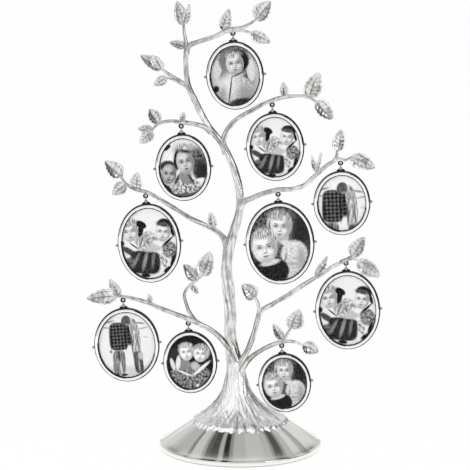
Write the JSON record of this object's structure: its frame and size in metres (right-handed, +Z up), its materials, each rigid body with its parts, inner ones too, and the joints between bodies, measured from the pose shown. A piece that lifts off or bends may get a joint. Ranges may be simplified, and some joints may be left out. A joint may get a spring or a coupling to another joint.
{
  "type": "multi photo frame",
  "caption": "Silver tree on a round spun dish, with leafy limbs from which oval photo lockets hang on wire links and swing.",
  "frame": {"origin": "centre of the dish's foot, on the surface that the tree stands on", "axes": "+Z up the trunk, +X to the right of a person who faces the pictures, the pictures face -Y"},
  "size_m": [0.2379, 0.1308, 0.3614],
  "materials": {
    "cast_silver": "bright silver plate on a textured casting",
    "spun_silver": "mirror-bright silver plate on a spun dish",
    "frame_silver": "polished silver plate",
    "back_plate": "satin silver plate",
    "steel": "bright wire and screw",
    "clear_lens": "clear",
    "picture_print": "black and white print",
    "base_felt": "dark felt"
  },
  "bodies": {
    "stand": {"base_dish": "spun_silver", "base_pad": "base_felt", "base_screw": "steel", "trunk": "cast_silver", "limb_left_upper": "cast_silver", "limb_left_middle": "cast_silver", "limb_left_lower": "cast_silver", "limb_right_upper": "cast_silver", "limb_right_middle": "cast_silver", "limb_right_lower": "cast_silver"},
    "locket_1": {"locket_1_frame": "frame_silver", "locket_1_lens": "clear_lens", "locket_1_card": "picture_print", "locket_1_back": "back_plate", "locket_1_link": "steel"},
    "locket_2": {"locket_2_frame": "frame_silver", "locket_2_lens": "clear_lens", "locket_2_card": "picture_print", "locket_2_back": "back_plate", "locket_2_link": "steel"},
    "locket_3": {"locket_3_frame": "frame_silver", "locket_3_lens": "clear_lens", "locket_3_card": "picture_print", "locket_3_back": "back_plate", "locket_3_link": "steel"},
    "locket_4": {"locket_4_frame": "frame_silver", "locket_4_lens": "clear_lens", "locket_4_card": "picture_print", "locket_4_back": "back_plate", "locket_4_link": "steel"},
    "locket_5": {"locket_5_frame": "frame_silver", "locket_5_lens": "clear_lens", "locket_5_card": "picture_print", "locket_5_back": "back_plate", "locket_5_link": "steel"},
    "locket_6": {"locket_6_frame": "frame_silver", "locket_6_lens": "clear_lens", "locket_6_card": "picture_print", "locket_6_back": "back_plate", "locket_6_link": "steel"},
    "locket_7": {"locket_7_frame": "frame_silver", "locket_7_lens": "clear_lens", "locket_7_card": "picture_print", "locket_7_back": "back_plate", "locket_7_link": "steel"},
    "locket_8": {"locket_8_frame": "frame_silver", "locket_8_lens": "clear_lens", "locket_8_card": "picture_print", "locket_8_back": "back_plate", "locket_8_link": "steel"},
    "locket_9": {"locket_9_frame": "frame_silver", "locket_9_lens": "clear_lens", "locket_9_card": "picture_print", "locket_9_back": "back_plate", "locket_9_link": "steel"},
    "locket_10": {"locket_10_frame": "frame_silver", "locket_10_lens": "clear_lens", "locket_10_card": "picture_print", "locket_10_back": "back_plate", "locket_10_link": "steel"}
  },
  "joints": [
    {"name": "locket_1_swing", "type": "hinge", "parent": "stand", "child": "locket_1", "pos_m": [-0.0059, -0.006, 0.33447], "axis": [1, 0, 0], "range_deg": [-25, 25]},
    {"name": "locket_2_swing", "type": "hinge", "parent": "stand", "child": "locket_2", "pos_m": [0.0254, 0.008, 0.27651], "axis": [1, 0, 0], "range_deg": [-25, 25]},
    {"name": "locket_3_swing", "type": "hinge", "parent": "stand", "child": "locket_3", "pos_m": [-0.0468, -0.00601, 0.26106], "axis": [1, 0, 0], "range_deg": [-25, 25]},
    {"name": "locket_4_swing", "type": "hinge", "parent": "stand", "child": "locket_4", "pos_m": [0.08, 0.004, 0.23037], "axis": [1, 0, 0], "range_deg": [-25, 25]},
    {"name": "locket_5_swing", "type": "hinge", "parent": "stand", "child": "locket_5", "pos_m": [-0.0758, 0.008, 0.20322], "axis": [1, 0, 0], "range_deg": [-25, 25]},
    {"name": "locket_6_swing", "type": "hinge", "parent": "stand", "child": "locket_6", "pos_m": [0.03, -0.008, 0.20695], "axis": [1, 0, 0], "range_deg": [-25, 25]},
    {"name": "locket_7_swing", "type": "hinge", "parent": "stand", "child": "locket_7", "pos_m": [0.0851, 0.00643, 0.14871], "axis": [1, 0, 0], "range_deg": [-25, 25]},
    {"name": "locket_8_swing", "type": "hinge", "parent": "stand", "child": "locket_8", "pos_m": [-0.0939, -0.006, 0.12084], "axis": [1, 0, 0], "range_deg": [-25, 25]},
    {"name": "locket_9_swing", "type": "hinge", "parent": "stand", "child": "locket_9", "pos_m": [-0.0416, -0.00976, 0.10267], "axis": [1, 0, 0], "range_deg": [-25, 25]},
    {"name": "locket_10_swing", "type": "hinge", "parent": "stand", "child": "locket_10", "pos_m": [0.0333, -0.01, 0.08438], "axis": [1, 0, 0], "range_deg": [-25, 25]}
  ]
}
